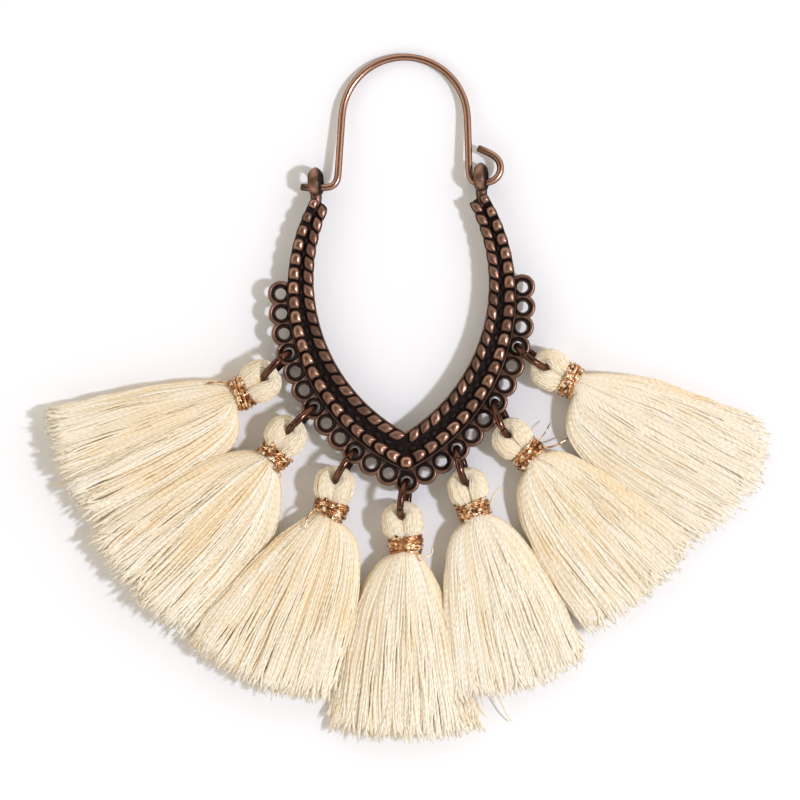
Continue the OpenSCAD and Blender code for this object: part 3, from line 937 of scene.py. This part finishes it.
def skirt_paths(i, across, height, length, wave, drift=0.0):
    """Threads of tassel i from inside its binding to their tips, in the tassel's own place.

    across holds where each thread lies at the tips, from -1 to 1, height how high, length its
    share of the skirt's, and drift how far across it wanders on its way."""
    _, _, _, reach, bulge = TASSELS[i]
    u = np.linspace(0, 1, SKIRT_STEPS)[None] ** STEP_GROWTH
    over = np.where(across < 0, overlap(i, i - 1), overlap(i, i + 1))[:, None]
    across = across[:, None] + np.broadcast_to(drift, across.shape)[:, None] * u ** 1.3
    across = np.clip(across, -PAST_SIDE, PAST_SIDE)
    size, turns, phase, rise_phase, curl, crimp = (value[:, None] for value in wave)
    grow = np.minimum(1, 3 * u)
    end = np.clip((u - CURL_SHARE) / (1 - CURL_SHARE), 0, 1) ** 2
    bend = size * grow * np.sin(2 * np.pi * (turns * u + phase)) + curl * end
    bend = bend + crimp * grow * np.sin(2 * np.pi * (CRIMP_TURNS * turns * u + rise_phase))
    rise = 0.6 * size * grow * np.sin(2 * np.pi * (turns * u + rise_phase))
    rise = rise + 0.5 * np.abs(curl) * end
    y = spread(i, across, u) * across * 0.985 + bend
    room = np.sqrt(np.maximum(0, 1 - across ** 2))
    edge = np.clip((np.abs(across) - SIDE_SHARE) * 2.2, 0, 1) ** 1.5 * grow
    lift = np.where(over > 0, LIFT_OVER, PRESS_UNDER) * over * edge
    z = mid_z(i, u) + (half_t(i, u) - THREAD_ROOM) * height[:, None] * room + rise + lift
    x = NECK_END + u * (length[:, None] * (reach - NECK_END) - bulge * across ** 2)
    paths = np.stack([x, y, z], -1)
    paths = np.concatenate([paths[:, :1], paths], 1)
    paths[:, 0, 0] = NECK_INSIDE
    paths[..., 2] = np.maximum(paths[..., 2], LOWEST + 0.04 * rng.random(paths.shape[:2]))
    return paths


def waves(count, least, most, curl):
    """Waviness of threads: size, turns, two phases, how far their tips curl, and small crimp."""
    return [rng.uniform(least, most, count), rng.uniform(0.6, 1.7, count), rng.random(count),
            rng.random(count), rng.normal(0, curl, count), rng.uniform(0.02, 0.08, count)]


# Sheets of threads from the top of a skirt to its underside
# The sheets under the top one have darker tints: painted shade in the slits between the top
# threads.
SHEETS = [
    # height, threads, tint, how much it parts into locks, length, thread radius
    (1.0, 84, 0.74, 1.0, 0.995, 0.122),
    (0.89, 82, 0.52, 0.35, 0.99, 0.122),
    (0.77, 64, 0.38, 0.2, 0.965, 0.14),
    (0.35, 28, 0.4, 0.2, 0.95, 0.16),
    (-0.3, 28, 0.4, 0.2, 0.945, 0.16),
    (-0.88, 56, 0.6, 0.5, 0.95, 0.15),
]

# Chance that a thread starts a new lock, and how far a lock gathers towards its middle
LOCK_CHANCE = 0.26
LOCK_GATHER = 0.3

# Chance that a thread is slack, how much more it waves then, and the share with a frayed end
SLACK_CHANCE = 0.1
SLACK = 0.16
FRAYED = 0.6

# Threads above this height have five sides, and the others four
SHOWN_HEIGHT = 0.75


def sheet_threads(i, level, count, shade, part, reach, radius):
    """One sheet of tassel i: across, height, drift, tint, length and radius of its threads."""
    part = part * PARTING[i]
    count = round(count / COARSENESS[i])
    across = np.linspace(-0.99, 0.99, count) + rng.uniform(-0.6, 0.6, count) / count
    lock = np.cumsum(rng.random(count) < LOCK_CHANCE)
    middles = np.array([across[lock == k].mean() if k in lock else 0 for k in range(count)])
    lock_drift = rng.normal(0, 0.06 * part, count)
    lock_lift = rng.uniform(-0.22, 0.12, count) * part
    lock_tint = rng.normal(0, 0.09 + 0.08 * part, count)
    lock_len = rng.normal(0, 0.012, count)
    gather = (middles[lock] - across) * LOCK_GATHER * part
    drift = gather + lock_drift[lock] + rng.normal(0, 0.02, count)
    jitter = rng.uniform(-0.12, 0.08, count) * (0.45 + 0.65 * PARTING[i])
    height = np.clip(level + lock_lift[lock] + jitter, -1, 1)
    tint = shade + PALENESS[i] + lock_tint[lock] + rng.normal(0, 0.08, count)
    length = reach + lock_len[lock] + rng.normal(0, 0.008, count)
    length = length - 0.03 * rng.random(count) ** 3
    thick = radius * COARSENESS[i] * rng.uniform(0.88, 1.12, count)
    return across, height, drift, tint, length, thick


def add_skirt(shell, i, place, angle):
    """Threads that leave the binding in locks, which part and cross a little on their way."""
    sheets = [sheet_threads(i, *sheet) for sheet in SHEETS]
    across, height, drift, tint, length, thick = map(np.concatenate, zip(*sheets))
    count = len(across)
    wave = waves(count, 0.04, 0.17, 0.26)
    wave[0] = wave[0] + SLACK * (rng.random(count) < SLACK_CHANCE)
    paths = skirt_paths(i, np.clip(across, -1, 1), height, np.minimum(length, 1.02), wave, drift)
    u = np.append(0, np.linspace(0, 1, SKIRT_STEPS))
    thick = thick[:, None] * np.interp(u, [0, 0.3, 1], [0.8, 1, 1])[None]
    # Painted light: threads are paler towards their tips, and a little darker just by the binding.
    tip_light = np.interp(u, [0, 0.12, 0.6, 1], [-0.1, 0, 0, 0.35])
    tints = np.clip(tint[:, None] + tip_light[None], 0, 1)
    paths = carried(paths, place, angle)
    shown = height > SHOWN_HEIGHT
    for these, sides in ((shown, 5), (~shown, 4)):
        tubes(shell, paths[these], thick[these], sides, tints[these])
    add_frayed_ends(shell, paths[rng.random(count) < FRAYED])


# Packed body of a skirt: its share of the skirt's width, length, depth and height, how much
# lower it is where the threads part, and its tints below and above
CORE_SIDES = 32
CORE_WIDTH = 0.92
CORE_LEN = 0.89
CORE_DEPTH = -0.55
CORE_HEIGHT = 0.93
CORE_PARTING = 0.1
# The tint above is dark: painted shade, seen deep between the threads.
CORE_TINTS = (0.5, 0.18)

# How thick the body is at its last steps, counted from the end
CORE_TAPER_STEPS = np.array([5, 3, 2, 1])
CORE_TAPER = (1, 0.82, 0.45, 0.1)


def add_core(shell, i, place, angle):
    """Packed threads under the sheets, seen as one body deep between the others."""
    around = full_turn(CORE_SIDES)
    below = np.sin(around) < 0
    height = np.where(below, CORE_DEPTH, CORE_HEIGHT - CORE_PARTING * PARTING[i])
    still = [np.zeros(CORE_SIDES)] * 6
    lengths = np.full(CORE_SIDES, CORE_LEN)
    paths = skirt_paths(i, CORE_WIDTH * np.cos(around), height, lengths, still)
    rows = paths.shape[1]
    middle = paths[..., 2].mean(0)
    taper = np.interp(np.arange(rows), rows - CORE_TAPER_STEPS, CORE_TAPER)
    paths[..., 2] = middle + (paths[..., 2] - middle) * taper
    points = carried(paths, place, angle).transpose(1, 0, 2)
    faces = [grid_faces(rows, CORE_SIDES, True), cap_faces(rows, CORE_SIDES)]
    # Painted shade: the core's upper side, seen in the slits, is dark.
    tint = np.where(below, *CORE_TINTS) + 0.1 * np.sin(7 * around + i)
    shell.add(points, faces, np.tile(tint, rows), (1, 0, 0))


# Radius of a frayed fibre from its root to its tip, and where its points lie on its length
FRAY_R = np.array([0.07, 0.05, 0.02])
FRAY_PLACES = np.array([-0.6, 0.5, 1.0])


def add_frayed_ends(shell, paths):
    """Fine fibres that stick out of the threads' cut ends, two to a thread."""
    count = 2 * len(paths)
    ends = np.repeat(paths[:, -1], 2, axis=0)
    way = unit(np.repeat(paths[:, -1] - paths[:, -3], 2, axis=0))
    way = unit(way + rng.normal(0, 0.2, (count, 3)) * [1, 1, 0.5])
    length = rng.uniform(0.2, 0.7, count)[:, None, None]
    fibres = ends[:, None] + way[:, None] * length * FRAY_PLACES[None, :, None]
    fibres[:, 2] += rng.normal(0, 0.07, (count, 3))
    fibres[..., 2] = np.maximum(fibres[..., 2], 0.05)
    tubes(shell, fibres, FRAY_R[None], 3, 0.95)


# Half of the bundle that folds over the jump ring, from the binding to the fold: place along
# the head and beside it, half width, half thickness, and how far its inner side may reach
HEAD_LINE = np.array([
    (HEAD_LEN - 0.2, 0.7, 0.8, 1.3, -0.3),
    (HEAD_LEN - NECK_END + 0.1, 0.74, 0.95, 1.34, -0.4),
    (HEAD_LEN - NECK_END - 0.5, 0.94, 1.18, 1.45, -0.4),
    (0.55, 1.04, 1.18, 1.52, -0.1),
    (-0.4, 1.1, 1.0, 1.42, 0.3),
    (-0.9, 0.66, 0.8, 1.15, 0.1),
    (-1.02, 0.0, 0.72, 1.0, 0.0),
])

# Threads of a head, how many of them lie on its outside, and the steps of each
HEAD_THREADS = 136
HEAD_OUTER = 100
HEAD_STEPS = 28


def add_head(shell, i, place, angle):
    """Threads that run through the jump ring and fold back on both sides of it."""
    count, outer = HEAD_THREADS, HEAD_OUTER
    turn = rng.uniform(0, 2 * np.pi, count)
    turn[:outer] = full_turn(outer) + rng.uniform(-0.05, 0.05, outer)
    out = np.sqrt(rng.uniform(0.15, 0.8, count))
    out[:outer] = rng.uniform(0.88, 1.0, outer)
    a, b = out * np.cos(turn), out * np.sin(turn)
    b = np.sign(b) * np.abs(b) ** np.where(a < 0, 0.6, 1)
    along, beside, wide, thick, inner = HEAD_LINE.T
    way = np.gradient(np.stack([along, beside], -1), axis=0)
    way[-1] = (0, -1)
    normal = unit(np.stack([way[:, 1], -way[:, 0]], -1))
    jitter = rng.normal(0, 0.04, (count, len(along), 2))
    x = along + normal[:, 0] * a[:, None] * wide + jitter[..., 0]
    y = beside + normal[:, 1] * a[:, None] * wide + jitter[..., 1]
    y = np.maximum(y, inner + 0.12 * rng.random((count, 1)))
    y[:, -1] = 0
    z = b[:, None] * thick + rng.normal(0, 0.03, (count, len(along)))
    half = np.stack([x, y, z], -1)
    other = half[:, ::-1] * [1, -1, 1]
    controls = np.concatenate([half, other[:, 1:]], 1)
    raised = np.interp(controls[..., 0], [-1.5, 0.5, 2.5], [0.3, 0.26, 0.0])
    controls[..., 2] += BINDING_R + raised
    paths = carried(smooth_path(controls, HEAD_STEPS), place, angle)
    radius = rng.uniform(0.115, 0.155, count)[:, None]
    tubes(shell, paths, radius, 4, np.clip(rng.normal(0.66, 0.13, count), 0, 1))


FIBRES = 16
FIBRE_R = 0.045


def add_fibres(shell, i, place, angle):
    """Single loose fibres that stand off the skirt."""
    wave = waves(FIBRES, 0.2, 0.55, 0.5)
    ranges = ((-1, 1), (0.6, 1.15), (0.93, 1.02))
    paths = skirt_paths(i, *(rng.uniform(*ends, FIBRES) for ends in ranges), wave)
    tubes(shell, carried(paths, place, angle), FIBRE_R, 4, 0.8)


# Loose ends beside the bindings and tips: tassel number, radius, then places along, across and
# above the skirt
COTTON_ENDS = [
    (5, 0.11, [(0.5, 1.7, 1.9), (-0.6, 2.5, 2.0), (-1.4, 3.6, 1.6)]),
    (4, 0.12, [(0.9, 1.6, 2.2), (1.4, 2.4, 2.2), (1.0, 3.0, 1.9), (0.5, 3.0, 1.6)]),
    (1, 0.1, [(18.5, 1.2, 0.8), (20.5, 1.6, 0.7), (23.6, 1.5, 0.4)]),
    (2, 0.09, [(0.6, 1.5, 2.0), (1.3, 2.3, 2.0), (2.2, 2.7, 1.7)]),
    (5, 0.11, [(19.0, -4.3, 1.6), (21.4, -3.8, 1.5), (23.0, -3.6, 1.2), (24.2, -3.3, 0.6)]),
]
METAL_ENDS = [
    (6, 0.1, [(0.3, 1.6, 2.3), (1.2, 2.6, 2.0), (1.7, 4.3, 1.5), (1.8, 5.4, 0.9)]),
    (6, 0.07, [(-0.3, 1.6, 2.6), (-0.5, 3.0, 2.2), (-0.9, 4.2, 1.6)]),
    (3, 0.11, [(0.6, -1.4, 2.8), (1.6, -2.0, 3.2), (3.2, -1.9, 3.35)]),
    (1, 0.1, [(0.4, -1.4, 2.7), (1.6, -2.0, 2.9), (3.4, -2.6, 2.6)]),
    (4, 0.1, [(0.5, 1.2, 3.1), (1.2, 1.5, 3.2), (1.9, 1.7, 3.1)]),
]
LOOSE_STEPS = 16


def add_loose_ends(shell, i, place, angle, ends):
    for number, radius, places in ends:
        if number == i + 1:
            path = smooth_path(np.array([places], float), LOOSE_STEPS)
            tubes(shell, carried(path, place, angle), radius, 6, 0.7)


def make_tassel(i):
    binding = middle_of(f"binding_{i + 1}")
    ring, ring_way, _ = ring_frame(i)
    loop = ring + (RING_D - RING_WIRE_D) / 2 * ring_way
    head_angle = math.atan2(binding[1] - loop[1], binding[0] - loop[0])
    skirt_angle = math.radians(TASSELS[i][1])
    shell = Shell()
    add_core(shell, i, binding, skirt_angle)
    add_skirt(shell, i, binding, skirt_angle)
    add_head(shell, i, loop, head_angle)
    add_fibres(shell, i, binding, skirt_angle)
    add_loose_ends(shell, i, binding, skirt_angle, COTTON_ENDS)
    make_piece(f"tassel_threads_{i + 1}", shell, COTTON, "earring", "cotton", f"tassel_{i + 1}")


# Layers of a binding, wound on a radius that is WOUND above the neck's
WINDINGS = [
    # farther out, start along the neck, length, turns, phase
    (0.0, -0.86, 1.72, 6, 0.0),
    (0.12, -0.5, 0.9, -2.5, 1.0),
    (0.1, 0.7, -1.5, 1.5, 2.5),
]
WOUND = 0.22
STEPS_A_TURN = 44

# The two strands: radius, how far each lies from the middle of the pair, and how far the pair
# runs until they have changed places
STRAND_R = 0.12
STRAND_OFFSET = 0.085
STRAND_LAY = 0.55
STRAND_SIDES = 7


def helix(radius, start, length, turns, steps, phase):
    t = np.linspace(0, 1, steps)
    angle = phase + 2 * np.pi * turns * t
    return np.stack([start + length * t, radius * np.cos(angle), radius * np.sin(angle)], -1)


def make_binding(i):
    """Two metallic strands twisted together and wound round the neck, with turns that cross."""
    binding = middle_of(f"binding_{i + 1}")
    angle = math.radians(TASSELS[i][1])
    shell = Shell()
    for farther, start, length, turns, phase in WINDINGS:
        radius = NECK_R + WOUND + farther
        steps = int(abs(turns) * STEPS_A_TURN)
        line = helix(radius, start, length, turns, steps, phase + i)
        along = np.linspace(0, 1, steps)
        line[:, 0] *= 0.85 + 0.35 * np.abs(line[:, 1]) / radius
        line[:, 0] += 0.07 * np.sin(19 * along + i) + 0.05 * np.sin(43 * along + 2 * i)
        outward = unit(line * [0, 1, 1])
        line += outward * (0.06 * np.sin(31 * along + phase))[:, None]
        twist = along * abs(turns) * 2 * np.pi * radius / STRAND_LAY * np.pi
        for strand in (0, 1):
            turn = (twist + strand * np.pi)[:, None]
            offset = STRAND_OFFSET * (np.cos(turn) * [1, 0, 0] + np.sin(turn) * outward)
            path = carried((line + offset + [0, 0, BINDING_R])[None], binding, angle)
            tubes(shell, path, STRAND_R, STRAND_SIDES, 0.6, turned(angle))
    add_loose_ends(shell, i, binding, angle, METAL_ENDS)
    make_piece(f"binding_thread_{i + 1}", shell, METALLIC_THREAD, "earring", "metallic_thread",
               f"binding_{i + 1}")


make_frame()
make_hook()
for number in range(len(TASSELS)):
    make_jump_ring(number)
    make_tassel(number)
    make_binding(number)


# Table, light and camera

# How far the table reaches to each side, in metres
TABLE_REACH = 3.0

# Lens and sensor, how wide and how high up the picture's plane is, how far its middle lies
# beside the part's, and how far it is turned, in degrees
LENS = 200
SENSOR = 36
PICTURE_W = 90
PICTURE_Z = 1.5
PICTURE_SHIFT = -0.15
PICTURE_TURN = -1.6


def make_floor():
    mesh = bpy.data.meshes.new("table")
    r = TABLE_REACH
    mesh.from_pydata([(-r, -r, 0), (r, -r, 0), (r, r, 0), (-r, r, 0)], [], [(0, 1, 2, 3)])
    material, _, _ = new_material("pale_table", {
        "Base Color": (0.935, 0.93, 0.925, 1),
        "Roughness": 0.9,
        "Specular IOR Level": 0.1,
    })
    mesh.materials.append(material)
    floor = new_object("table", mesh)


def make_key_light(azimuth, elevation, distance, size, power, colour):
    """Area light that faces the earring. Azimuth 0 is to the right of the picture."""
    data = bpy.data.lights.new("key", "AREA")
    data.shape = "DISK"
    data.size = size
    data.energy = power
    data.color = colour
    light = new_object("key", data)
    across, up = turned(math.radians(azimuth)), math.radians(elevation)
    light.location = distance * (math.cos(up) * across + [0, 0, math.sin(up)])
    light.rotation_mode = "QUATERNION"
    light.rotation_quaternion = (-light.location).to_track_quat("-Z", "Y")


def make_world():
    """Soft light from all round, dimmer overhead and near the table."""
    world = bpy.data.worlds.new("studio")
    graph = Graph(world)
    bpy.context.scene.world = world
    background = graph.nodes["Background"]
    up = graph.split(graph.coordinates("Generated"))["Z"]
    colour = graph.ramp(up, [
        (0.0, 0.7, 0.68, 0.64),
        (0.2, 1.0, 0.95, 0.87),
        (0.5, 1.0, 0.95, 0.87),
        (0.7, 0.6, 0.565, 0.515),
        (0.86, 0.23, 0.214, 0.19),
        (1.0, 0.12, 0.111, 0.099),
    ])
    graph.link(colour, background.inputs["Color"])
    background.inputs["Strength"].default_value = 1.27


def make_camera():
    """Long lens straight above, turned so that the earring lies as in the photograph."""
    data = bpy.data.cameras.new("camera")
    data.lens = LENS
    data.sensor_width = SENSOR
    data.clip_start = 0.01
    camera = new_object("camera", data)
    middle = [(a + b) / 2 for a, b in zip(cad_low, cad_high)]
    distance = PICTURE_W * MM * LENS / SENSOR
    camera.location = (middle[0] + PICTURE_SHIFT * MM, middle[1], PICTURE_Z * MM + distance)
    camera.rotation_euler = (0, 0, math.radians(PICTURE_TURN))
    bpy.context.scene.camera = camera


make_floor()
make_key_light(azimuth=-12, elevation=52, distance=1.0, size=0.1, power=6.26,
               colour=(0.826, 0.856, 1.0))
make_world()
make_camera()
bpy.context.scene.view_settings.view_transform = "Standard"
